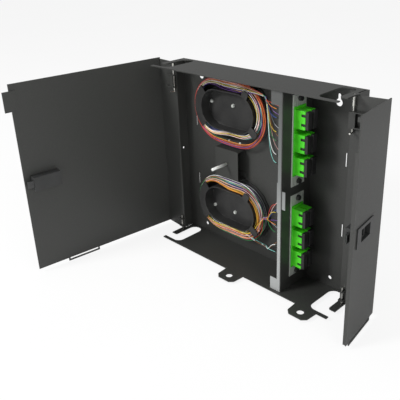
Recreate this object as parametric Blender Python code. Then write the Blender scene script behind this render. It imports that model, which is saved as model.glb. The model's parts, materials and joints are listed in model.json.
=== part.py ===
"""Wall-mount fiber termination box with a wide splice-side door and a narrow patch-side door.

Every dimension below is in millimetres, measured from the box's left side (X), from its front
plane back towards the wall (Y) and from its bottom (Z). The model's origin is the centre of the
back face, so the wall is the plane y = 0 and the doors are towards -y.
"""

import math

import bmesh
import bpy
from mathutils import Matrix, Vector

MM = 0.001
WIDTH = 343.0
HEIGHT = 304.8
DEPTH = 70.0
SHEET = 1.5
SIDE_WALL_FRONT = 48.5

# The doors, which turn about upright axes near the sides.
HINGE_INSET = 4.0
HINGE_DEPTH = 42.5
LEFT_OPEN = 95.83
RIGHT_OPEN = 98.0
DOOR_FRONT = -1.9
DOOR_BACK = DOOR_FRONT + SHEET
DOOR_BOTTOM = 2.2
SIDE_PANEL_TOP = 302.6
SIDE_PANEL_REAR = 46.5
LEFT_DOOR_WIDTH = 258.1
RIGHT_DOOR_START = 258.5

# The partition and what it carries.
PLATE_X = (257.8, 259.3)
FLANGE_Y = (5.0, 6.5)
GROUP_Z = (228.9, 85.5)
ADAPTER_PITCH = 33.0
ADAPTER_COLUMNS = (31.65, 44.05)
ADAPTER_SIZE = (9.3, 25.4)
PORT_PITCH = 12.7
PLUNGER_SPACING = 118.0

# The fiber spools and the bracket between them.
SPOOL_X = 114.0
SPOOL_Z = (239.0, 74.6)
SPOOL_HALF_STRAIGHT = 24.0
HUB_RADIUS = 31.8
COIL_RADIUS = 41.2
SPOOL_SCREWS = (67.3, 113.8)
SPOOL_SCREW_DROP = ((5.7, 5.7), (-13.0, -13.0))

# The slide latches: where each bezel starts, and which way its bolt points.
LATCH_Z = 151.5
LEFT_LATCH = (203.0, 1)
RIGHT_LATCH = (313.6, -1)

PADLOCK_TABS = (172.2, 308.7)
KEYHOLE_INSET = 42.0
ROUND = 20


def at(x, y, z):
    """A point of the box in the model's metres."""
    return Vector((x - WIDTH / 2, y - DEPTH, z - HEIGHT / 2)) * MM


def mirrored(x):
    return WIDTH - x


class Shape:
    """One or more closed solids, built up in box millimetres."""

    def __init__(self):
        self.mesh = bmesh.new()

    def block(self, x, y, z):
        low = at(min(x), min(y), min(z))
        high = at(max(x), max(y), max(z))
        size = high - low
        place = Matrix.Translation((low + high) / 2) @ Matrix.Diagonal((*size, 1.0))
        bmesh.ops.create_cube(self.mesh, size=1.0, matrix=place)
        return self

    def rod(self, start, end, radius, end_radius=None, sides=ROUND):
        first = at(*start)
        last = at(*end)
        along = last - first
        turn = Vector((0, 0, 1)).rotation_difference(along).to_matrix().to_4x4()
        bmesh.ops.create_cone(
            self.mesh,
            cap_ends=True,
            segments=sides,
            radius1=radius * MM,
            radius2=(radius if end_radius is None else end_radius) * MM,
            depth=along.length,
            matrix=Matrix.Translation((first + last) / 2) @ turn,
        )
        return self

    def prism(self, outline, across, span):
        """An outline of (a, b) points stretched over span, along the axis named by across."""
        placed = {
            "Z": lambda a, b, c: at(a, b, c),
            "Y": lambda a, b, c: at(a, c, b),
            "X": lambda a, b, c: at(c, a, b),
        }[across]
        rings = []
        for height in span:
            rings.append([self.mesh.verts.new(placed(a, b, height)) for a, b in outline])
        count = len(outline)
        self.mesh.faces.new(rings[0])
        self.mesh.faces.new(rings[1])
        for n in range(count):
            m = (n + 1) % count
            self.mesh.faces.new((rings[0][n], rings[0][m], rings[1][m], rings[1][n]))
        return self

    def tube(self, points, radii, sides=10, closed=False):
        """A round bar along a path. radii is one number or a pair (sideways, along Y)."""
        wide, deep = radii if isinstance(radii, tuple) else (radii, radii)
        path = [at(*point) for point in points]
        count = len(path)
        rings = []
        sideways = None
        for n, point in enumerate(path):
            before = path[n - 1] if closed or n else point
            after = path[(n + 1) % count] if closed or n < count - 1 else point
            along = (after - before).normalized()
            if closed:
                across = along.cross(Vector((0, 1, 0))).normalized()
            elif sideways is None:
                across = along.orthogonal().normalized()
            else:
                across = (sideways - along * sideways.dot(along)).normalized()
            sideways = across
            other = along.cross(across)
            ring = []
            for step in range(sides):
                angle = math.tau * step / sides
                offset = across * math.cos(angle) * wide + other * math.sin(angle) * deep
                ring.append(self.mesh.verts.new(point + offset * MM))
            rings.append(ring)
        links = count if closed else count - 1
        for n in range(links):
            first = rings[n]
            last = rings[(n + 1) % count]
            for step in range(sides):
                turn = (step + 1) % sides
                self.mesh.faces.new((first[step], first[turn], last[turn], last[step]))
        if not closed:
            self.mesh.faces.new(rings[0])
            self.mesh.faces.new(rings[-1])
        return self


def clear_scene():
    for obj in list(bpy.data.objects):
        bpy.data.objects.remove(obj, do_unlink=True)


def material(name, color, metallic, roughness):
    made = bpy.data.materials.new(name)
    made.use_nodes = True
    shader = made.node_tree.nodes["Principled BSDF"]
    shader.inputs["Base Color"].default_value = (*color, 1.0)
    shader.inputs["Metallic"].default_value = metallic
    shader.inputs["Roughness"].default_value = roughness
    made.diffuse_color = (*color, 1.0)
    return made


def mesh_object(name, shape, finish, carrier):
    bmesh.ops.recalc_face_normals(shape.mesh, faces=shape.mesh.faces)
    data = bpy.data.meshes.new(name)
    shape.mesh.to_mesh(data)
    shape.mesh.free()
    obj = bpy.data.objects.new(name, data)
    bpy.context.scene.collection.objects.link(obj)
    if finish:
        data.materials.append(finish)
    if carrier:
        obj.parent = carrier
        obj.matrix_parent_inverse = Matrix.Translation(-Vector(carrier["home"]))
    return obj


def piece(name, finish, base, join=None, cut=None, carrier=None, smooth=False):
    """One named sub-part: a base solid, with other solids joined to it and then cut from it."""
    obj = mesh_object(name, base, finish, carrier)
    for role, shape, operation in (("join", join, "UNION"), ("cut", cut, "DIFFERENCE")):
        if shape is None:
            continue
        helper = mesh_object(f"{name}_{role}", shape, None, carrier)
        helper.hide_render = True
        helper.display_type = "WIRE"
        step = obj.modifiers.new(role, "BOOLEAN")
        step.operation = operation
        step.solver = "EXACT"
        step.use_self = True
        step.object = helper
    if smooth:
        obj.data.shade_smooth()
        obj.data.set_sharp_from_angle(angle=math.radians(40))
    return obj


def carrier_empty(name, x, y, z, parent=None):
    """An empty on a moving body's axis, which its pieces are parented to."""
    empty = bpy.data.objects.new(name, None)
    empty.empty_display_size = 0.01
    empty.location = at(x, y, z)
    empty["home"] = list(at(x, y, z))
    bpy.context.scene.collection.objects.link(empty)
    if parent:
        empty.parent = parent
        empty.matrix_parent_inverse = Matrix.Translation(-Vector(parent["home"]))
    return empty


# ---------------------------------------------------------------- enclosure


def entry_slot(side):
    """The outline of a cable entry, open at the outer front corner and round at the rear."""
    inner, outer, rear = 34.5, 11.0, 53.75
    radius = (inner - outer) / 2
    corner = 11.0
    front = 5.5
    points = [(-1.0, front)]
    for step in range(7):
        angle = math.radians(-90 + 15 * step)
        x = inner - corner + corner * math.cos(angle)
        y = front + corner + corner * math.sin(angle)
        points.append((x, y))
    for step in range(13):
        angle = math.radians(15 * step)
        x = outer + radius + radius * math.cos(angle)
        y = rear + radius * math.sin(angle)
        points.append((x, y))
    for step in range(5):
        angle = math.radians(22.5 * step)
        x = outer - 3.0 + 3.0 * math.cos(angle)
        y = 24.0 - 3.0 * math.sin(angle)
        points.append((x, y))
    points.append((-1.0, 21.0))
    if side == "right":
        points = [(mirrored(x), y) for x, y in points]
    return points


def padlock_tab(centre):
    """A flat tab that stands out in front, for a padlock through the door's loop."""
    root, front, tip, reach = 18.0, 16.75, 10.7, -25.0
    return [
        (centre - root, 1.2),
        (centre - root, 0.0),
        (centre - front, reach + 6.0),
        (centre - tip, reach),
        (centre + tip, reach),
        (centre + front, reach + 6.0),
        (centre + root, 0.0),
        (centre + root, 1.2),
    ]


def enclosure_shell(steel):
    shell = Shape().block((0, WIDTH), (0, DEPTH), (0, HEIGHT))
    tabs = Shape()
    cut = Shape()
    back = (DEPTH - SHEET - 1.0, DEPTH + 1.0)
    through = (-1.0, HEIGHT + 1.0)
    cut.block((SHEET, WIDTH - SHEET), (-1.0, DEPTH - SHEET), (SHEET, HEIGHT - SHEET))
    for edge in (0.0, WIDTH):
        inside = (edge - 2.0, edge + 2.0)
        cut.block(inside, (-1.0, SIDE_WALL_FRONT), (SHEET, HEIGHT - SHEET))
    for side in ("left", "right"):
        cut.prism(entry_slot(side), "Z", through)
    for flip in (lambda x: x, mirrored):
        cut.block((flip(1.5), flip(4.0)), (49.0, 67.0), through)
        pin = (flip(HINGE_INSET), HINGE_DEPTH)
        cut.rod((*pin, -1.0), (*pin, HEIGHT + 1.0), 2.0)
        x = flip(KEYHOLE_INSET)
        cut.rod((x, back[0], 281.7), (x, back[1], 281.7), 5.2)
        cut.block((x - 2.3, x + 2.3), back, (282.0, 291.5))
        cut.rod((x, back[0], 291.5), (x, back[1], 291.5), 2.3)
        cut.rod((x, back[0], 15.6), (x, back[1], 15.6), 3.0)
        x = flip(26.5)
        for z in (205.5, 99.3):
            cut.block((x - 1.0, x + 1.0), back, (z - 10.0, z + 10.0))
        y, z = 58.0, 152.4
        cut.rod((flip(-1.0), y, z), (flip(3.0), y, z), 2.0)
    for group, centre in enumerate(SPOOL_Z):
        for n, x in enumerate(SPOOL_SCREWS):
            z = centre + SPOOL_SCREW_DROP[group][n]
            cut.rod((x, back[0], z), (x, back[1], z), 1.9, sides=12)
    for centre in PADLOCK_TABS:
        tabs.prism(padlock_tab(centre), "Z", (0.0, SHEET))
        cut.rod((centre, -12.0, -1.0), (centre, -12.0, 3.0), 5.3)
    piece("enclosure_shell", steel, shell, tabs, cut)


# ---------------------------------------------------------------- partition and adapters


def bulkhead(steel):
    plate = Shape().block(PLATE_X, (FLANGE_Y[0], 68.2), (1.8, 303.0))
    edge = PLATE_X[1]
    flanges = Shape()
    flanges.block((252.5, edge), FLANGE_Y, (1.8, 303.0))
    flanges.block((240.0, edge), FLANGE_Y, (283.0, 303.0))
    flanges.block((240.0, edge), FLANGE_Y, (1.8, 22.0))
    flanges.block((251.0, edge), FLANGE_Y, (130.0, 175.0))
    flanges.block((258.5, 265.5), FLANGE_Y, (137.0, 164.0))
    flanges.block((244.0, edge), (66.9, 68.2), (1.8, 303.0))
    cut = Shape()
    for centre in GROUP_Z:
        cut.block((257.0, 260.0), (26.0, 51.4), (centre - 54.0, centre + 54.0))
        for z in plunger_heights(centre):
            cut.rod((257.0, 38.7, z), (260.0, 38.7, z), 2.4, sides=12)
    piece("bulkhead", steel, plate, flanges, cut)


def plunger_heights(centre):
    return (centre + PLUNGER_SPACING / 2, centre - PLUNGER_SPACING / 2)


def adapter_heights(centre):
    return (centre + ADAPTER_PITCH, centre, centre - ADAPTER_PITCH)


def adapter_plate(name, steel, centre):
    plate = Shape().block((259.6, 260.8), (24.4, 53.0), (centre - 65.0, centre + 65.0))
    wide = ADAPTER_SIZE[0] / 2 + 0.3
    tall = ADAPTER_SIZE[1] / 2 + 0.3
    cut = Shape()
    for y in ADAPTER_COLUMNS:
        for z in adapter_heights(centre):
            cut.block((259.0, 261.5), (y - wide, y + wide), (z - tall, z + tall))
    for z in plunger_heights(centre):
        cut.rod((259.0, 38.7, z), (261.5, 38.7, z), 2.4, sides=12)
    piece(name, steel, plate, cut=cut)


def plate_plunger(name, plastic, z):
    head = Shape().rod((261.1, 38.7, z), (265.0, 38.7, z), 4.2, 3.8, sides=16)
    shaft = Shape()
    shaft.rod((254.0, 38.7, z), (261.5, 38.7, z), 2.05, sides=16)
    piece(name, plastic, head, shaft)


def adapter(name, plastic, y, z):
    """A duplex coupler: two ports at each end, a flange, and an open key slot beside each port."""
    wide, tall = ADAPTER_SIZE[0] / 2, ADAPTER_SIZE[1] / 2
    body = Shape().block((246.5, 278.6), (y - wide, y + wide), (z - tall, z + tall))
    flange = Shape().block((261.1, 262.6), (y - 5.9, y + 5.9), (z - 16.2, z + 16.2))
    cut = Shape()
    for centre in (z + PORT_PITCH / 2, z - PORT_PITCH / 2):
        port = ((y - 3.5, y + 3.5), (centre - 4.8, centre + 4.8))
        cut.block((268.0, 279.6), *port)
        cut.block((245.5, 257.0), *port)
        cut.block((272.0, 279.6), (y - wide - 1.0, y - 3.0), (centre - 1.9, centre + 1.9))
    piece(name, plastic, body, flange, cut)


def dust_cap(name, rubber, y, z):
    """A double cap: one pad over the adapter's end, and a plug in each port."""
    pad = Shape().block((278.9, 283.4), (y - 4.3, y + 4.3), (z - 12.2, z + 12.2))
    plugs = Shape()
    for centre in (z + PORT_PITCH / 2, z - PORT_PITCH / 2):
        plugs.block((270.0, 279.4), (y - 3.1, y + 3.1), (centre - 4.4, centre + 4.4))
    piece(name, rubber, pad, plugs)


# ---------------------------------------------------------------- fiber handling


def stadium(radius, steps=8):
    """Points round a stadium centred on a spool, as (across, up) offsets."""
    points = []
    for end, start in ((SPOOL_HALF_STRAIGHT, -90.0), (-SPOOL_HALF_STRAIGHT, 90.0)):
        for step in range(steps + 1):
            angle = math.radians(start + 180.0 * step / steps)
            points.append((end + radius * math.cos(angle), radius * math.sin(angle)))
    return points


def on_spool(points, centre):
    return [(SPOOL_X + across, centre + up) for across, up in points]


def spool_finger(angle, tip):
    """A flat tab from the hub's rim out over the coil, as (across, up) offsets."""
    end = SPOOL_HALF_STRAIGHT if math.cos(math.radians(angle)) > 0 else -SPOOL_HALF_STRAIGHT
    along = Vector((math.cos(math.radians(angle)), math.sin(math.radians(angle))))
    side = Vector((-along.y, along.x))
    corners = []
    for reach, half in ((30.6, -6), (tip - 2.4, -6), (tip, -3.5), (tip, 3.5), (tip - 2.4, 6), (30.6, 6)):
        point = Vector((end, 0.0)) + along * reach + side * half
        corners.append((point.x, point.y))
    return corners


def spool_shield():
    """The broad tab over the inner turns at the left end, as (across, up) offsets."""
    corners = []
    for reach, angles in ((44.4, range(130, 231, 10)), (30.6, range(230, 129, -10))):
        for angle in angles:
            turn = math.radians(angle)
            corners.append((reach * math.cos(turn) - SPOOL_HALF_STRAIGHT, reach * math.sin(turn)))
    return corners


def fiber_spool(name, plastic, centre, screws):
    outer = on_spool(stadium(50.6), centre)
    base = Shape().prism(outer, "Y", (66.4, 68.2))
    parts = Shape().prism(on_spool(stadium(HUB_RADIUS), centre), "Y", (48.5, 67.0))
    for angle, tip in ((65.0, 41.5), (-38.0, 46.5)):
        parts.prism(on_spool(spool_finger(angle, tip), centre), "Y", (48.5, 50.0))
    parts.prism(on_spool(spool_shield(), centre), "Y", (48.5, 50.0))
    cut = Shape().prism(on_spool(stadium(HUB_RADIUS - 1.8), centre), "Y", (47.0, 66.4))
    for x, z in screws:
        cut.rod((x, 66.0, z), (x, 69.0, z), 1.9, sides=12)
    piece(name, plastic, base, parts, cut)


def fiber_coil(name, jacket, centre):
    ring = [(x, 57.3, z) for x, z in on_spool(stadium(COIL_RADIUS, 14), centre)]
    coil = Shape().tube(ring, (8.0, 6.6), sides=10, closed=True)
    piece(name, jacket, coil, smooth=True)


def spool_screw(name, steel, x, z):
    head = Shape().rod((x, 63.7, z), (x, 66.1, z), 2.4, 3.3, sides=16)
    shank = Shape().rod((x, 65.5, z), (x, 69.7, z), 1.6, sides=12)
    piece(name, steel, head, shank)


def pigtail_bundle(name, jacket, centre, start):
    """The tails that leave a coil's right end and spread to the three adapter rows."""
    trunk = Shape().tube(
        [start, (192.5, 55.0, centre + 12.0), (199.0, 50.0, centre), (207.0, 46.0, centre - 6.0)],
        3.0,
        sides=8,
    )
    tails = Shape()
    for z in adapter_heights(centre):
        middle = (centre + z) / 2
        tails.tube(
            [
                (202.0, 47.6, centre - 4.0),
                (214.0, 43.5, middle - 2.0),
                (228.0, 39.0, z - 1.0),
                (244.0, 37.85, z),
            ],
            1.6,
            sides=8,
        )
    piece(name, jacket, trunk, tails)


def standoff_bracket(steel):
    x, z, half = 111.6, 152.5, 24.5
    across = (x - half, x + half)
    plate = Shape().block(across, (50.0, 51.2), (z - half, z + half))
    legs = Shape()
    for edge, foot in ((z + half, -11.0), (z - half, 11.0)):
        inward = 1.2 if foot > 0 else -1.2
        legs.block(across, (50.0, 68.2), (edge, edge + inward))
        legs.block(across, (67.0, 68.2), (edge, edge + foot))
    piece("standoff_bracket", steel, plate, legs)


def bracket_stud(steel):
    stud = Shape().rod((111.6, 49.7, 152.5), (111.6, 18.0, 152.5), 2.3, sides=16)
    piece("bracket_stud", steel, stud, smooth=True)


# ---------------------------------------------------------------- doors


def latch_opening(latch):
    """The rectangular hole in a door that a latch housing sits in."""
    x = latch_x(latch, 1.0), latch_x(latch, 45.3)
    return Shape().block(x, (DOOR_FRONT - 1.0, DOOR_BACK + 1.0), (LATCH_Z - 11.25, LATCH_Z + 11.25))


def latch_x(latch, along):
    start, way = latch
    return start + way * along


def add_pin_ears(shape, cut, flip):
    """Lower ears on a side panel, which hold the fixed hinge pin."""
    for z in (7.5, 21.5):
        shape.block((flip(1.0), flip(8.0)), (38.0, SIDE_PANEL_REAR - 0.1), (z, z + SHEET))
    x = flip(HINGE_INSET)
    cut.rod((x, HINGE_DEPTH, 5.0), (x, HINGE_DEPTH, 25.0), 1.9)


def add_padlock_loop(shape, cut, outer, slot):
    front = (DOOR_FRONT, DOOR_BACK)
    shape.block(outer, front, (-3.3, 4.0))
    cut.block(slot, (DOOR_FRONT - 1.0, DOOR_BACK + 1.0), (-0.8, 2.3))


def left_door(steel, carrier):
    front = (DOOR_FRONT, DOOR_BACK)
    panel = Shape().block((0, LEFT_DOOR_WIDTH), front, (DOOR_BOTTOM, HEIGHT))
    more = Shape()
    side = (DOOR_FRONT, SIDE_PANEL_REAR)
    more.block((0, SHEET), side, (DOOR_BOTTOM, SIDE_PANEL_TOP))
    more.block((250.0, 258.1), (DOOR_FRONT + 0.5, 1.4), (265.0, 295.0))
    more.block((250.0, 268.5), (-0.1, 1.4), (265.0, 295.0))
    cut = latch_opening(LEFT_LATCH)
    add_pin_ears(more, cut, lambda x: x)
    add_padlock_loop(more, cut, (149.7, 206.7), (152.2, 204.2))
    piece("left_door", steel, panel, more, cut, carrier)


def right_door(steel, carrier):
    front = (DOOR_FRONT, DOOR_BACK)
    panel = Shape().block((RIGHT_DOOR_START, WIDTH), front, (DOOR_BOTTOM, HEIGHT))
    more = Shape()
    side = (DOOR_FRONT, SIDE_PANEL_REAR)
    edge = (RIGHT_DOOR_START, RIGHT_DOOR_START + SHEET)
    more.block((WIDTH - SHEET, WIDTH), side, (DOOR_BOTTOM, SIDE_PANEL_TOP))
    more.block(edge, (DOOR_FRONT, 2.6), (DOOR_BOTTOM + 1.0, 262.5))
    more.block(edge, (DOOR_FRONT, 2.6), (297.5, SIDE_PANEL_TOP))
    cut = latch_opening(RIGHT_LATCH)
    add_pin_ears(more, cut, mirrored)
    add_padlock_loop(more, cut, (267.4, 332.4), (270.0, 330.0))
    piece("right_door", steel, panel, more, cut, carrier)


def hinge_bracket(name, steel, carrier, flip):
    """A boxed bracket on the side panel, whose two ears guide the sprung hinge pin."""
    web = Shape().block((flip(1.8), flip(3.0)), (26.0, 37.0), (262.0, 283.0))
    ears = Shape()
    for z in (262.0, 281.5):
        ears.block((flip(1.8), flip(9.0)), (26.0, 46.6), (z, z + SHEET))
    ears.block((flip(7.8), flip(9.0)), (38.0, 46.6), (262.0, 283.0))
    x = flip(HINGE_INSET)
    cut = Shape().rod((x, HINGE_DEPTH, 260.0), (x, HINGE_DEPTH, 285.0), 1.7)
    piece(name, steel, web, ears, cut, carrier)


def hinge_pin_top(name, zinc, carrier, flip):
    """The sprung pin: a shouldered rod with a collar over its spring and a leg to pull it by."""
    x = flip(HINGE_INSET)
    y = HINGE_DEPTH
    pin = Shape().rod((x, y, 254.7), (x, y, 304.6), 1.3, sides=16)
    more = Shape().rod((x, y, 279.3), (x, y, 280.8), 2.15, sides=16)
    more.rod((x, y, 289.5), (x, y, 302.6), 2.2, sides=16)
    more.rod((flip(3.4), y, 256.0), (flip(12.0), y, 256.0), 1.2, sides=12)
    piece(name, zinc, pin, more, carrier=carrier)


def hinge_pin_bottom(name, zinc, carrier, flip):
    x = flip(HINGE_INSET)
    pin = Shape().rod((x, HINGE_DEPTH, 0.2), (x, HINGE_DEPTH, 28.0), 1.6, sides=16)
    piece(name, zinc, pin, carrier=carrier, smooth=True)


def spring_path(start, end, radius, turns, around):
    """A coil's path about the line from start to end, with both given as box points."""
    steps = 10 * turns
    path = []
    for step in range(steps + 1):
        share = step / steps
        angle = math.tau * turns * share
        point = [a + (b - a) * share for a, b in zip(start, end)]
        point[around[0]] += radius * math.cos(angle)
        point[around[1]] += radius * math.sin(angle)
        path.append(tuple(point))
    return path


def pin_spring(name, wire, carrier, flip):
    x = flip(HINGE_INSET)
    ends = ((x, HINGE_DEPTH, 264.1), (x, HINGE_DEPTH, 278.7))
    coil = Shape().tube(spring_path(*ends, 1.86, 7, (0, 1)), 0.22, sides=5)
    piece(name, wire, coil, carrier=carrier, smooth=True)


def latch_block(shape, latch, along, up, deep):
    """A block placed on a latch: along the door, up from its middle, and in from the door's face."""
    x = (latch_x(latch, along[0]), latch_x(latch, along[1]))
    y = (DOOR_FRONT + deep[0], DOOR_FRONT + deep[1])
    return shape.block(x, y, (LATCH_Z + up[0], LATCH_Z + up[1]))


def latch_housing(name, plastic, latch, carrier):
    bezel = latch_block(Shape(), latch, (0.0, 46.0), (-13.5, 13.5), (-1.5, -0.3))
    body = latch_block(Shape(), latch, (1.3, 45.0), (-10.95, 10.95), (-1.0, 15.0))
    cut = latch_block(Shape(), latch, (9.0, 34.5), (-8.5, 8.5), (-3.0, 13.0))
    latch_block(cut, latch, (31.5, 46.0), (-5.8, 5.8), (8.4, 12.6))
    piece(name, plastic, bezel, body, cut, carrier)


def latch_slider(name, plastic, latch, carrier):
    """The finger cup and its bolt, whose rear face is ramped so that the door pushes it in."""
    cup = latch_block(Shape(), latch, (17.5, 33.5), (-7.5, 7.5), (2.2, 12.3))
    ramp = [(32.5, 8.7), (53.5, 8.7), (53.5, 9.6), (50.1, 12.3), (32.5, 12.3)]
    outline = [(latch_x(latch, along), DOOR_FRONT + deep) for along, deep in ramp]
    bolt = Shape().prism(outline, "Z", (LATCH_Z - 5.5, LATCH_Z + 5.5))
    cut = latch_block(Shape(), latch, (19.0, 32.0), (-6.0, 6.0), (1.0, 8.0))
    latch_block(cut, latch, (16.5, 29.0), (-2.0, 2.0), (9.0, 13.0))
    piece(name, plastic, cup, bolt, cut, carrier)


def latch_spring(name, wire, latch, carrier):
    y = DOOR_FRONT + 10.9
    ends = ((latch_x(latch, 9.6), y, LATCH_Z), (latch_x(latch, 28.4), y, LATCH_Z))
    coil = Shape().tube(spring_path(*ends, 1.4, 7, (1, 2)), 0.22, sides=5)
    piece(name, wire, coil, carrier=carrier, smooth=True)


def door_set(side, latch, flip, angle, finishes):
    steel, dark, zinc, wire, plastic = finishes
    hinge = carrier_empty(f"{side}_hinge_axis", flip(HINGE_INSET), HINGE_DEPTH, HEIGHT / 2)
    slide = carrier_empty(f"{side}_latch_axis", latch_x(latch, 53.5), 8.0, LATCH_Z, hinge)
    build = left_door if side == "left" else right_door
    build(steel, hinge)
    hinge_bracket(f"{side}_hinge_bracket", dark, hinge, flip)
    hinge_pin_top(f"{side}_hinge_pin_top", zinc, hinge, flip)
    hinge_pin_bottom(f"{side}_hinge_pin_bottom", zinc, hinge, flip)
    pin_spring(f"{side}_pin_spring", wire, hinge, flip)
    latch_housing(f"{side}_latch_housing", plastic, latch, hinge)
    latch_slider(f"{side}_latch_slider", plastic, latch, slide)
    latch_spring(f"{side}_latch_spring", wire, latch, hinge)
    hinge.rotation_euler = (0.0, 0.0, math.radians(angle))


def main():
    clear_scene()
    steel = material("black_powder_coat", (0.030, 0.031, 0.030), 0.0, 0.5)
    door_steel = material("door_powder_coat", (0.036, 0.037, 0.035), 0.0, 0.48)
    plated = material("plated_steel", (0.42, 0.43, 0.42), 1.0, 0.35)
    zinc = material("zinc_hardware", (0.55, 0.55, 0.53), 1.0, 0.3)
    spring_wire = material("spring_wire", (0.35, 0.35, 0.35), 1.0, 0.3)
    latch_plastic = material("latch_plastic", (0.022, 0.023, 0.024), 0.0, 0.42)
    spool_plastic = material("spool_plastic", (0.018, 0.018, 0.018), 0.0, 0.5)
    green = material("apc_green", (0.05, 0.55, 0.01), 0.0, 0.38)
    cap_rubber = material("cap_rubber", (0.012, 0.012, 0.012), 0.0, 0.6)
    plunger_plastic = material("plunger_plastic", (0.014, 0.014, 0.014), 0.0, 0.4)
    jacket = material("pigtail_jacket", (0.55, 0.3, 0.12), 0.0, 0.45)

    enclosure_shell(steel)
    bulkhead(steel)
    for group, place in enumerate(("upper", "lower")):
        centre = GROUP_Z[group]
        adapter_plate(f"{place}_adapter_plate", plated, centre)
        for n, z in enumerate(plunger_heights(centre), 1):
            plate_plunger(f"{place}_plate_plunger_{n}", plunger_plastic, z)
        count = 0
        for y in ADAPTER_COLUMNS:
            for z in adapter_heights(centre):
                count += 1
                adapter(f"{place}_adapter_{count}", green, y, z)
                dust_cap(f"{place}_dust_cap_{count}", cap_rubber, y, z)
        middle = SPOOL_Z[group]
        drops = SPOOL_SCREW_DROP[group]
        screws = [(x, middle + drop) for x, drop in zip(SPOOL_SCREWS, drops)]
        fiber_spool(f"{place}_fiber_spool", spool_plastic, middle, screws)
        fiber_coil(f"{place}_fiber_coil", jacket, middle)
        for n, (x, z) in enumerate(screws, 1):
            spool_screw(f"{place}_spool_screw_{n}", plated, x, z)
        start = (185.0, 57.0, middle + 25.0)
        pigtail_bundle(f"{place}_pigtail_bundle", jacket, GROUP_Z[group], start)
    standoff_bracket(steel)
    bracket_stud(plated)
    finishes = (door_steel, steel, zinc, spring_wire, latch_plastic)
    door_set("left", LEFT_LATCH, lambda x: x, -LEFT_OPEN, finishes)
    door_set("right", RIGHT_LATCH, mirrored, RIGHT_OPEN, finishes)


main()
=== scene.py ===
"""Wall-mount fiber termination box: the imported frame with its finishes, strands and connectors.

Points are given in box millimetres, as in the CAD source: X from the left side, Y from the front
plane towards the wall and Z from the bottom. at() turns them into the frame's metres.
"""

import json
import math
import random

import bmesh
import bpy
from mathutils import Matrix, Vector


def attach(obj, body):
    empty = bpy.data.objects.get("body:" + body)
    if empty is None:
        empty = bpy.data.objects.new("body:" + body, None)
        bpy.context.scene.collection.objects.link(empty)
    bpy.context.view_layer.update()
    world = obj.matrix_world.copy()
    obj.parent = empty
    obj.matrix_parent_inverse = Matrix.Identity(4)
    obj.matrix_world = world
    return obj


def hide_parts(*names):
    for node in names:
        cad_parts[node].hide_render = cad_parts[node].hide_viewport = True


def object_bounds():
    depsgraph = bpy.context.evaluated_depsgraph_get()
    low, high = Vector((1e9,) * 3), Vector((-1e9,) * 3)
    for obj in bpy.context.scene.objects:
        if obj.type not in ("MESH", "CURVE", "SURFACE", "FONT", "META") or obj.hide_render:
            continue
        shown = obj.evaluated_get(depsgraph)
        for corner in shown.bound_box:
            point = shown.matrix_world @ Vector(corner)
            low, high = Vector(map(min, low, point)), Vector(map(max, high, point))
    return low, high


MM = 0.001
WHITE = (1.0, 1.0, 1.0, 1.0)

# The case, and where the CAD source puts the spools, the couplers and their ports.
WIDTH, DEPTH, HEIGHT = 343.0, 70.0, 304.8
SPOOL_X = 114.0
SPOOL_Z = {"upper": 239.0, "lower": 74.6}
HALF_STRAIGHT = 24.0
GROUP_Z = {"upper": 228.9, "lower": 85.5}
ADAPTER_PITCH = 33.0
ADAPTER_COLUMNS = (31.65, 44.05)
PORT_PITCH = 12.7

# The splice-side plugs and boots, and the rivets in the back wall.
PLUG_X = (238.3, 256.3)
PLUG_HALF_DEPTH = 3.2
PLUG_HALF_HEIGHT = 4.3
BOOT_X = (228.0, 238.0)
BOOT_RADII = (1.3, 2.6)
RIVET_X = (102.0, 125.0)
RIVET_Y = (68.3, 66.6)
RIVET_Z = 184.6
RIVET_RADII = (2.5, 1.8)

# A strand: its loose tail runs from TAIL_START over the TAIL_X places to TAIL_DEPTH at the spool.
STRAND_RADIUS = 0.5
STRAND_SIDES = 8
CURVE_STEPS = 4
TAIL_START = 228.5
TAIL_X = (222.5, 216.5, 211.0, 206.5, 203.0, 197.0)
TAIL_DEPTH = 47.0
TAIL_BEND = 1.5

# The turns of a strand: how many, how far they wander, and the space they stay in on the spool.
STRAND_SEED = 11
FEWEST_LAPS = 2.2
MORE_LAPS = 0.5
STEPS_PER_LAP = 26
SLOW_WANDER = (2.4, 2.3)
QUICK_WANDER = (1.0, 4.0)
DEPTH_WANDER = (0.8, 3.0)
DEPTH_PER_LAP = 1.3
LEFT_RADIUS = 48.5
LEFT_PULL = 0.7
COIL_RADII = (33.2, 56.0)
COIL_DEPTHS = (51.0, 65.4)

# The partition's front: how deep its painted highlight goes (a lighter tone standing in for the
# light falling on it), and the dark line where the plate meets it, which the painted highlight
# leaves out.
PAINTED_HIGHLIGHT_Y = (5.8, 5.2)
DARK_LINE_X = 259.1
DARK_LINE_HALF = 1.2

# Edges: what counts as sharp, what is flat enough to merge, and how near points are joined.
SHARP_ANGLE = 40
FLAT_ANGLE = 0.6
WELD_DISTANCE = 0.000002
SMALL_EDGE = 0.3

# The camera's azimuth, elevation and roll in degrees, its place in metres, its lens and its shift.
CAMERA_ANGLES = (46.587, 22.591, -2.271)
CAMERA_PLACE = (0.5226, -0.6111, 0.3307)
CAMERA_LENS = 50.58
CAMERA_SHIFT = (-0.0213, -0.0672)

# The stage: the world's light, the floor, and how much of the floor's white only the camera sees.
WORLD_LIGHT = 0.42
FLOOR_HALF = 6.0
FLOOR_GAP = 0.0005
FLOOR_WHITE = 0.86
LIGHTS = (
    ("key", (-0.95, -2.1, 1.4), (0.08, 0.0, 0.0), (0.6, 0.6), 52.0),
    ("side", (1.9, -0.7, 0.9), (0.0, -0.05, 0.0), (1.2, 1.2), 17.0),
    ("top", (0.0, -0.2, 1.9), (0.0, 0.0, 0.0), (1.4, 1.0), 8.0),
)

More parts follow.
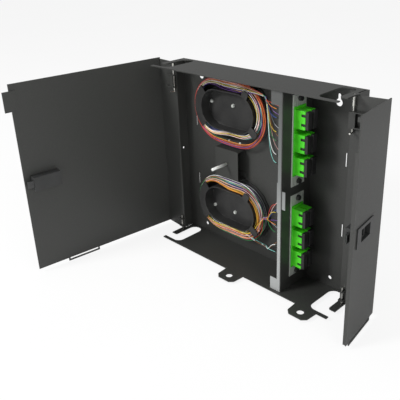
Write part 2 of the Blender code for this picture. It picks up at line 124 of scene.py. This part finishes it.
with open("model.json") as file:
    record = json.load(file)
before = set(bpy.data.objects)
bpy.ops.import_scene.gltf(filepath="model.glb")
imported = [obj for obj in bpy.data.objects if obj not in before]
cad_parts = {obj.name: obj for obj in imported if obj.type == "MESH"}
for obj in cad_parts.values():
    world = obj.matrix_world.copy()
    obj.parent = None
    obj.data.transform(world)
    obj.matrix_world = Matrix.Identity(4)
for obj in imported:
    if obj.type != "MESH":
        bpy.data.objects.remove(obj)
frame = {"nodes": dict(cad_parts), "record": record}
cad_box = [list(corner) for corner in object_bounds()]
nodes = frame["nodes"]


def at(x, y, z):
    """A point in box millimetres, in the frame's metres."""
    return Vector((x - WIDTH / 2, y - DEPTH, z - HEIGHT / 2)) * MM


# ---------------------------------------------------------------- camera


def make_camera():
    azimuth, elevation, roll = (math.radians(a) for a in CAMERA_ANGLES)
    forward = Vector(
        (
            -math.sin(azimuth) * math.cos(elevation),
            math.cos(azimuth) * math.cos(elevation),
            -math.sin(elevation),
        )
    )
    level = forward.cross(Vector((0, 0, 1))).normalized()
    upright = level.cross(forward)
    right = level * math.cos(roll) + upright * math.sin(roll)
    up = upright * math.cos(roll) - level * math.sin(roll)
    data = bpy.data.cameras.new("camera")
    data.sensor_width = 36.0
    data.lens = CAMERA_LENS
    data.shift_x, data.shift_y = CAMERA_SHIFT
    data.clip_start = 0.01
    data.clip_end = 20.0
    camera = bpy.data.objects.new("camera", data)
    turned = Matrix((right, up, -forward)).transposed().to_4x4()
    camera.matrix_world = Matrix.Translation(CAMERA_PLACE) @ turned
    bpy.context.scene.collection.objects.link(camera)
    bpy.context.scene.camera = camera


# ---------------------------------------------------------------- materials


class Finish:
    """A Principled material whose colour, roughness and bump come from procedural noise."""

    def __init__(self, name, metallic=0.0, **sockets):
        self.material = bpy.data.materials.new(name)
        self.material.use_nodes = True
        self.tree = self.material.node_tree
        self.shader = self.tree.nodes["Principled BSDF"]
        self.shader.inputs["Metallic"].default_value = metallic
        for socket, value in sockets.items():
            self.shader.inputs[socket.replace("_", " ")].default_value = value
        self.place = self.node("TexCoord").outputs["Object"]

    def node(self, kind):
        return self.tree.nodes.new("ShaderNode" + kind)

    def link(self, output, target):
        self.tree.links.new(output, target)

    def noise(self, scale, detail=2.0, stretch=None):
        node = self.node("TexNoise")
        node.inputs["Scale"].default_value = scale
        node.inputs["Detail"].default_value = detail
        place = self.place
        if stretch:
            mapping = self.node("Mapping")
            mapping.inputs["Scale"].default_value = stretch
            self.link(place, mapping.inputs["Vector"])
            place = mapping.outputs["Vector"]
        self.link(place, node.inputs["Vector"])
        return node.outputs["Fac"]

    def map_range(self, factor, source, target=(0.0, 1.0)):
        node = self.node("MapRange")
        for socket, value in zip(("From Min", "From Max", "To Min", "To Max"), (*source, *target)):
            node.inputs[socket].default_value = value
        self.link(factor, node.inputs["Value"])
        return node.outputs["Result"]

    def calculate(self, operation, first, second=0.0):
        """A math node on one output and either a number or another output."""
        node = self.node("Math")
        node.operation = operation
        self.link(first, node.inputs[0])
        if isinstance(second, float):
            node.inputs[1].default_value = second
        else:
            self.link(second, node.inputs[1])
        return node.outputs[0]

    def ramp(self, factor, stops):
        node = self.node("ValToRGB")
        elements = node.color_ramp.elements
        for n, (where, color) in enumerate(stops):
            element = elements[n] if n < len(elements) else elements.new(where)
            element.position = where
            element.color = (*color, 1.0)
        self.link(factor, node.inputs["Fac"])
        return node.outputs["Color"]

    def shades(self, factor, low, high):
        return self.ramp(factor, ((0.35, low), (0.65, high)))

    def color(self, factor, low, high):
        self.link(self.shades(factor, low, high), self.shader.inputs["Base Color"])

    def gloss(self, factor, low, high):
        rough = self.map_range(factor, (0.3, 0.7), (low, high))
        self.link(rough, self.shader.inputs["Roughness"])

    def bump(self, factor, height, strength):
        node = self.node("Bump")
        node.inputs["Distance"].default_value = height * MM
        node.inputs["Strength"].default_value = strength
        self.link(factor, node.inputs["Height"])
        self.link(node.outputs["Normal"], self.shader.inputs["Normal"])


def coat_texture(finish):
    """The sheen and the fine grain of powder coat."""
    finish.gloss(finish.noise(700.0), 0.43, 0.5)
    finish.bump(finish.noise(1800.0), 0.03, 0.5)


def powder_coat(name, low, high):
    finish = Finish(name, Specular_IOR_Level=0.45)
    finish.color(finish.noise(900.0), low, high)
    coat_texture(finish)
    return finish.material


def partition_coat_painted_highlight():
    """The case's coat, with a painted highlight in a lighter tone on the partition's front,
    brightest at the bottom and dimmer towards the top.
    """
    finish = Finish("partition_coat_painted_highlight", Specular_IOR_Level=0.45)
    split = finish.node("SeparateXYZ")
    finish.link(finish.place, split.inputs[0])
    height = finish.map_range(split.outputs["Z"], (-0.15, 0.15))
    # painted highlight: the partition's front made lighter where it would catch the light,
    # brightest at the bottom
    painted_highlight = finish.ramp(
        height,
        ((0.3, (0.34, 0.35, 0.347)), (0.6, (0.16, 0.17, 0.168)), (0.94, (0.075, 0.078, 0.076))),
    )
    dark = finish.shades(finish.noise(900.0), (0.030, 0.031, 0.029), (0.038, 0.039, 0.036))

    # the painted highlight goes only on the front face, and is left out along the dark line where
    # the plate meets it
    edge = finish.map_range(split.outputs["Y"], [at(0, y, 0).y for y in PAINTED_HIGHLIGHT_Y])
    across = finish.calculate("SUBTRACT", split.outputs["X"], at(DARK_LINE_X, 0, 0).x)
    across = finish.calculate("ABSOLUTE", across)
    beside = finish.calculate("GREATER_THAN", across, DARK_LINE_HALF * MM)
    mix = finish.node("Mix")
    mix.data_type = "RGBA"
    finish.link(finish.calculate("MULTIPLY", edge, beside), mix.inputs["Factor"])
    finish.link(dark, mix.inputs["A"])
    finish.link(painted_highlight, mix.inputs["B"])
    finish.link(mix.outputs["Result"], finish.shader.inputs["Base Color"])
    coat_texture(finish)
    return finish.material


def plated(name, low, high, rough, streak=(1, 1, 1), metallic=1.0):
    finish = Finish(name, metallic)
    finish.color(finish.noise(60.0, 4.0, streak), low, high)
    finish.gloss(finish.noise(500.0, 3.0, streak), rough - 0.08, rough + 0.1)
    finish.bump(finish.noise(2500.0, 2.0, streak), 0.01, 0.4)
    return finish.material


def threaded():
    """Bright plate with the fine rings of a thread along the stud."""
    finish = Finish("stud_plate", 0.25)
    finish.color(finish.noise(90.0, 3.0), (0.80, 0.82, 0.80), (0.9, 0.91, 0.88))
    finish.gloss(finish.noise(500.0), 0.3, 0.42)
    wave = finish.node("TexWave")
    wave.bands_direction = "Y"
    wave.inputs["Scale"].default_value = 392.0
    finish.link(finish.place, wave.inputs["Vector"])
    finish.bump(wave.outputs["Fac"], 0.05, 0.35)
    return finish.material


def moulded(name, low, high, rough, grain=0.02, **sockets):
    finish = Finish(name, **sockets)
    finish.color(finish.noise(45.0, 3.0), low, high)
    finish.gloss(finish.noise(400.0), rough - 0.05, rough + 0.07)
    finish.bump(finish.noise(3000.0), grain, 0.4)
    return finish.material


def jacket(name, color):
    low = tuple(c * 0.82 for c in color)
    high = tuple(min(1.0, c * 1.1 + 0.01) for c in color)
    return moulded(f"jacket_{name}", low, high, 0.38, 0.015, Coat_Weight=0.1)


FINISHES = {
    "black_powder_coat": powder_coat("case_coat", (0.030, 0.031, 0.029), (0.040, 0.041, 0.038)),
    "door_powder_coat": powder_coat("door_coat", (0.034, 0.035, 0.033), (0.045, 0.046, 0.043)),
    "plated_steel": plated(
        "bright_plate", (0.60, 0.63, 0.59), (0.72, 0.74, 0.70), 0.32, (1, 1, 0.08), 0.45
    ),
    "zinc_hardware": plated("clear_zinc", (0.46, 0.46, 0.44), (0.66, 0.65, 0.61), 0.32),
    "spring_wire": plated("drawn_wire", (0.30, 0.30, 0.30), (0.45, 0.45, 0.44), 0.3),
    "latch_plastic": moulded("latch_nylon", (0.022, 0.023, 0.023), (0.030, 0.031, 0.031), 0.42),
    "spool_plastic": moulded("spool_nylon", (0.017, 0.017, 0.017), (0.026, 0.026, 0.025), 0.45),
    "apc_green": moulded(
        "green_housing", (0.045, 0.52, 0.008), (0.075, 0.66, 0.016), 0.34, Coat_Weight=0.15
    ),
    "cap_rubber": moulded("cap_elastomer", (0.010, 0.010, 0.010), (0.019, 0.019, 0.019), 0.6),
    "plunger_plastic": moulded("plunger_nylon", (0.013, 0.013, 0.013), (0.021, 0.021, 0.021), 0.4),
}

# the bulkhead's coat carries a painted highlight on its front
SPECIAL = {"bracket_stud": threaded(), "bulkhead": partition_coat_painted_highlight()}

STRAND_COLORS = {
    "blue": (0.02, 0.07, 0.32),
    "orange": (0.80, 0.26, 0.03),
    "green": (0.03, 0.22, 0.07),
    "brown": (0.22, 0.09, 0.03),
    "slate": (0.32, 0.34, 0.36),
    "white": (0.86, 0.88, 0.87),
    "red": (0.55, 0.05, 0.03),
    "black": (0.02, 0.02, 0.02),
    "yellow": (0.72, 0.55, 0.06),
    "violet": (0.17, 0.07, 0.32),
    "rose": (0.80, 0.48, 0.46),
    "aqua": (0.22, 0.60, 0.55),
}


# ---------------------------------------------------------------- frame nodes


# How far the edges of each kind of piece are rounded; the first key found in a name counts.
EDGE = {
    "enclosure_shell": 0.35,
    "bulkhead": 0.35,
    "left_door": 0.35,
    "right_door": 0.35,
    "standoff_bracket": 0.3,
    "latch_housing": 0.4,
    "latch_slider": 0.3,
    "fiber_spool": 0.35,
    "adapter_plate": 0.2,
    "adapter": 0.25,
    "dust_cap": 0.5,
    "hinge_bracket": 0.2,
    "plunger": 0.3,
    "screw": 0.25,
    "pin": 0.2,
}


def edge_width(name):
    for key, width in EDGE.items():
        if key in name:
            return width
    return 0.0


def round_edges(obj, width):
    edge = obj.modifiers.new("edge", "BEVEL")
    edge.width = width * MM
    edge.segments = 2
    edge.limit_method = "ANGLE"
    edge.angle_limit = math.radians(SHARP_ANGLE)
    return edge


def dress_frame_nodes():
    """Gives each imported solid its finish, and rounds its sharp edges a little."""
    slots = {row["node"]: row["material_slot"] for row in frame["record"]["subparts"]}
    for name, obj in nodes.items():
        finish = SPECIAL.get(name) or FINISHES.get(slots[name])
        if finish:
            obj.data.materials.clear()
            obj.data.materials.append(finish)
        if "coil" in name or "spring" in name:
            continue
        bpy.context.view_layer.objects.active = obj
        bpy.ops.mesh.customdata_custom_splitnormals_clear()
        obj.data.shade_smooth()
        weld = obj.modifiers.new("weld", "WELD")
        weld.merge_threshold = WELD_DISTANCE
        flat = obj.modifiers.new("flat", "DECIMATE")
        flat.decimate_type = "DISSOLVE"
        flat.angle_limit = math.radians(FLAT_ANGLE)
        width = edge_width(name)
        if width:
            round_edges(obj, width).harden_normals = True


# ---------------------------------------------------------------- strands


def finish_mesh(name, mesh):
    """Turns the faces outwards and makes an object of them, smooth except at sharp edges."""
    bmesh.ops.recalc_face_normals(mesh, faces=mesh.faces)
    data = bpy.data.meshes.new(name)
    mesh.to_mesh(data)
    mesh.free()
    data.shade_smooth()
    data.set_sharp_from_angle(angle=math.radians(SHARP_ANGLE))
    obj = bpy.data.objects.new(name, data)
    bpy.context.scene.collection.objects.link(obj)
    return obj


def smooth_path(points):
    """A Catmull-Rom curve through the points."""
    padded = [points[0] * 2 - points[1], *points, points[-1] * 2 - points[-2]]
    path = []
    for n in range(1, len(padded) - 2):
        a, b, c, d = padded[n - 1 : n + 3]
        for step in range(CURVE_STEPS):
            t = step / CURVE_STEPS
            path.append(
                0.5
                * (
                    2 * b
                    + (c - a) * t
                    + (2 * a - 5 * b + 4 * c - d) * t * t
                    + (3 * b - a - 3 * c + d) * t * t * t
                )
            )
    path.append(points[-1])
    return path


def tube_mesh(name, path, radius):
    """A capped tube along the path, whose rings don't twist."""
    mesh = bmesh.new()
    rings = []
    across = None
    for n, point in enumerate(path):
        before = path[max(n - 1, 0)]
        after = path[min(n + 1, len(path) - 1)]
        along = (after - before).normalized()
        if across is None:
            across = along.orthogonal().normalized()
        else:
            across = (across - along * across.dot(along)).normalized()
        other = along.cross(across)
        ring = []
        for step in range(STRAND_SIDES):
            angle = math.tau * step / STRAND_SIDES
            offset = across * math.cos(angle) + other * math.sin(angle)
            ring.append(mesh.verts.new(point + offset * radius * MM))
        rings.append(ring)
    for first, last in zip(rings, rings[1:]):
        for step in range(STRAND_SIDES):
            turn = (step + 1) % STRAND_SIDES
            mesh.faces.new((first[step], first[turn], last[turn], last[step]))
    mesh.faces.new(reversed(rings[0]))
    mesh.faces.new(rings[-1])
    return finish_mesh(name, mesh)


def ring_point(turn, radius, y, centre):
    """A point of a spool's stadium, at turn laps clockwise from the middle of its right end."""
    end = math.pi * radius
    straight = 2 * HALF_STRAIGHT
    lap = 2 * (end + straight)
    run = (turn % 1.0) * lap
    if run < end / 2 or run >= lap - end / 2:
        angle = (run if run < end / 2 else run - lap) / radius
        x, z = HALF_STRAIGHT + radius * math.cos(angle), -radius * math.sin(angle)
    elif run < end / 2 + straight:
        x, z = HALF_STRAIGHT - (run - end / 2), -radius
    elif run < end * 1.5 + straight:
        angle = (run - end / 2 - straight) / radius
        x, z = -HALF_STRAIGHT - radius * math.sin(angle), -radius * math.cos(angle)
    else:
        x, z = -HALF_STRAIGHT + (run - end * 1.5 - straight), radius
    return at(SPOOL_X + x, y, centre + z)


def port_heights(group):
    """The heights of a group's ports, from the top down."""
    heights = []
    for row in (1, 0, -1):
        middle = GROUP_Z[group] + row * ADAPTER_PITCH
        heights += [middle + PORT_PITCH / 2, middle - PORT_PITCH / 2]
    return heights


# Each strand's colour, its radius on the spool at the top and at the bottom, and its depth.
WOUND = {
    "upper": (
        ("orange", 44.5, 52.0, 53.4),
        ("blue", 36.0, 36.0, 58.0),
        ("yellow", 37.6, 37.0, 52.6),
        ("green", 39.0, 52.6, 56.0),
        ("white", 41.0, 34.2, 51.6),
        ("aqua", 46.0, 37.0, 54.6),
        ("red", 47.6, 53.5, 52.0),
        ("violet", 34.2, 54.6, 53.0),
        ("slate", 40.0, 37.0, 60.0),
        ("brown", 44.0, 38.0, 61.5),
        ("rose", 44.0, 35.4, 51.8),
        ("black", 36.5, 39.0, 62.4),
    ),
    "lower": (
        ("red", 46.5, 43.0, 53.6),
        ("yellow", 36.4, 34.6, 51.8),
        ("orange", 34.6, 41.0, 52.0),
        ("green", 45.0, 47.2, 53.0),
        ("white", 47.6, 36.0, 54.0),
        ("aqua", 42.5, 38.0, 55.0),
        ("rose", 39.0, 43.8, 51.9),
        ("blue", 38.5, 40.0, 58.5),
        ("violet", 42.0, 36.0, 59.0),
        ("slate", 44.0, 44.0, 61.0),
        ("brown", 36.0, 41.0, 62.0),
        ("black", 40.0, 38.0, 62.6),
    ),
}

# The port each strand of a group goes to: the front column from the top down, then the rear one.
PORT_ORDER = (*range(0, 12, 2), *range(1, 12, 2))


def tail_points(group, row, column, z, rng):
    """A strand's loose run from its boot to the spool, and the lap at which it joins the turns."""
    swing = 3.0 * rng.random()
    if group == "upper":
        goal, leave = 273.0 - swing, -0.15 - 0.03 * rng.random()
        shares = (0.02, 0.09, 0.22, 0.45, 0.7, 0.92)
        last = [(188.0 + swing, 48.5, 279.0 - swing)]
    elif row == 2:
        goal, leave = 35.5 + swing, 0.145 + 0.02 * rng.random()
        shares = (0.12, 0.34, 0.6, 0.82, 0.95, 1.0)
        last = [(188.0, 48.0, goal), (170.0, 50.5, goal - 0.5)]
    else:
        goal, leave = 87.0 - swing, 0.03 + 0.02 * rng.random()
        shares = (0.06, 0.2, 0.42, 0.68, 0.86, 0.98)
        last = [(188.5, 49.0, 83.0 - swing)]
    points = [(TAIL_START, column, z)]
    for x, share in zip(TAIL_X, shares):
        gone = (TAIL_START - x) / (TAIL_START - TAIL_X[-1])
        y = column + (TAIL_DEPTH - column) * gone**TAIL_BEND
        points.append((x, y, z + (goal - z) * share))
    return points + last, leave


def wander(size_and_rate, lap, phase):
    size, rate = size_and_rate
    return size * math.sin(rate * lap + phase)


def strand_route(group, number, rng):
    """From a port's boot over to the coil, then round the spool and in under the turns."""
    high, low, depth = WOUND[group][number][1:]
    port = PORT_ORDER[number]
    column = ADAPTER_COLUMNS[port % 2]
    z = port_heights(group)[port // 2]
    loose, start = tail_points(group, port // 4, column, z, rng)
    points = [at(*point) for point in loose]
    way = -1.0 if group == "upper" else 1.0
    laps = FEWEST_LAPS + MORE_LAPS * rng.random()
    steps = int(laps * STEPS_PER_LAP)
    phase = rng.random() * math.tau
    middle, swing = (high + low) / 2, (high - low) / 2
    for step in range(steps + 1):
        lap = laps * step / steps
        turn = start + way * lap
        radius = middle + swing * math.sin(-math.tau * turn)
        radius += wander(SLOW_WANDER, lap, phase) + wander(QUICK_WANDER, lap, phase)
        left = max(0.0, -math.cos(math.tau * turn))
        radius += left * (LEFT_RADIUS - radius) * LEFT_PULL
        radius = max(COIL_RADII[0], min(radius, COIL_RADII[1]))
        y = depth + DEPTH_PER_LAP * lap + wander(DEPTH_WANDER, lap, phase * 2.0)
        y = max(COIL_DEPTHS[0], min(y, COIL_DEPTHS[1]))
        points.append(ring_point(turn, radius, y, SPOOL_Z[group]))
    return points


def make_strands():
    rng = random.Random(STRAND_SEED)
    jackets = {name: jacket(name, color) for name, color in STRAND_COLORS.items()}
    for group, strands in WOUND.items():
        for number, strand in enumerate(strands):
            path = smooth_path(strand_route(group, number, rng))
            obj = tube_mesh(f"{group}_strand_{strand[0]}", path, STRAND_RADIUS)
            obj.data.materials.append(jackets[strand[0]])
            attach(obj, "enclosure")
            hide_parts(f"{group}_fiber_coil", f"{group}_pigtail_bundle")


# ---------------------------------------------------------------- connectors and rivets


def solid(name, mesh, finish):
    """A small extra piece of the enclosure."""
    obj = finish_mesh(name, mesh)
    obj.data.materials.append(finish)
    round_edges(obj, SMALL_EDGE)
    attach(obj, "enclosure")
    return obj


def tapered_rod(start, end, radii):
    mesh = bmesh.new()
    first, last = at(*start), at(*end)
    along = last - first
    turn = Vector((0, 0, 1)).rotation_difference(along).to_matrix().to_4x4()
    bmesh.ops.create_cone(
        mesh,
        cap_ends=True,
        segments=16,
        radius1=radii[0] * MM,
        radius2=radii[1] * MM,
        depth=along.length,
        matrix=Matrix.Translation((first + last) / 2) @ turn,
    )
    return mesh


def plug_block(y, z):
    mesh = bmesh.new()
    low = at(PLUG_X[0], y - PLUG_HALF_DEPTH, z - PLUG_HALF_HEIGHT)
    high = at(PLUG_X[1], y + PLUG_HALF_DEPTH, z + PLUG_HALF_HEIGHT)
    place = Matrix.Translation((low + high) / 2) @ Matrix.Diagonal((*(high - low), 1.0))
    bmesh.ops.create_cube(mesh, size=1.0, matrix=place)
    return mesh


def make_connectors():
    """The splice-side plugs and their strain-relief boots, one for each port."""
    rubber = moulded("boot_elastomer", (0.012, 0.016, 0.012), (0.02, 0.026, 0.02), 0.5)
    for group in GROUP_Z:
        for n, z in enumerate(port_heights(group)):
            for side, y in zip("ab", ADAPTER_COLUMNS):
                plug = plug_block(y, z)
                solid(f"{group}_plug_{n + 1}{side}", plug, FINISHES["apc_green"])
                boot = tapered_rod((BOOT_X[0], y, z), (BOOT_X[1], y, z), BOOT_RADII)
                solid(f"{group}_boot_{n + 1}{side}", boot, rubber)


def make_rivets():
    for n, x in enumerate(RIVET_X):
        rivet = tapered_rod((x, RIVET_Y[0], RIVET_Z), (x, RIVET_Y[1], RIVET_Z), RIVET_RADII)
        solid(f"back_rivet_{n + 1}", rivet, FINISHES["plated_steel"])


# ---------------------------------------------------------------- light and floor


def area_light(name, place, target, size, power):
    data = bpy.data.lights.new(name, "AREA")
    data.shape = "RECTANGLE"
    data.size, data.size_y = size
    data.energy = power
    light = bpy.data.objects.new(name, data)
    light.location = place
    aim = Vector(target) - Vector(place)
    light.rotation_mode = "QUATERNION"
    light.rotation_quaternion = aim.to_track_quat("-Z", "Y")
    bpy.context.scene.collection.objects.link(light)


def mix_shaders(tree, share, first, second, target):
    """Sends the target a blend of two shaders, all of the second where the share is 1."""
    mix = tree.nodes.new("ShaderNodeMixShader")
    for output, socket in zip((share, first, second), mix.inputs):
        tree.links.new(output, socket)
    tree.links.new(mix.outputs[0], target)


def plain_glow(node, strength):
    node.inputs["Color"].default_value = WHITE
    node.inputs["Strength"].default_value = strength
    return node.outputs[0]


def make_world():
    """A dim even light on everything, which the camera alone sees as white."""
    world = bpy.data.worlds.new("studio")
    world.use_nodes = True
    tree = world.node_tree
    lit = plain_glow(tree.nodes["Background"], WORLD_LIGHT)
    seen = plain_glow(tree.nodes.new("ShaderNodeBackground"), 1.0)
    camera_ray = tree.nodes.new("ShaderNodeLightPath").outputs["Is Camera Ray"]
    mix_shaders(tree, camera_ray, lit, seen, tree.nodes["World Output"].inputs["Surface"])
    bpy.context.scene.world = world


def floor_finish():
    """Matt white, with most of a plain white over it for the camera alone."""
    pale = Finish("pale_floor")
    pale.color(pale.noise(3.0), (0.86, 0.86, 0.86), (0.9, 0.9, 0.9))
    pale.gloss(pale.noise(40.0), 0.8, 0.9)
    seen = plain_glow(pale.node("Emission"), 1.0)
    share = pale.calculate("MULTIPLY", pale.node("LightPath").outputs["Is Camera Ray"], FLOOR_WHITE)
    output = pale.tree.nodes["Material Output"]
    mix_shaders(pale.tree, share, pale.shader.outputs[0], seen, output.inputs["Surface"])
    return pale.material


def make_stage():
    bpy.context.scene.view_settings.view_transform = "Standard"
    make_world()
    floor = bmesh.new()
    bmesh.ops.create_grid(floor, x_segments=1, y_segments=1, size=FLOOR_HALF)
    obj = finish_mesh("floor", floor)
    obj.location.z = cad_box[0][2] - FLOOR_GAP
    obj.data.materials.append(floor_finish())
    for light in LIGHTS:
        area_light(*light)


make_camera()
dress_frame_nodes()
make_strands()
make_connectors()
make_rivets()
make_stage()
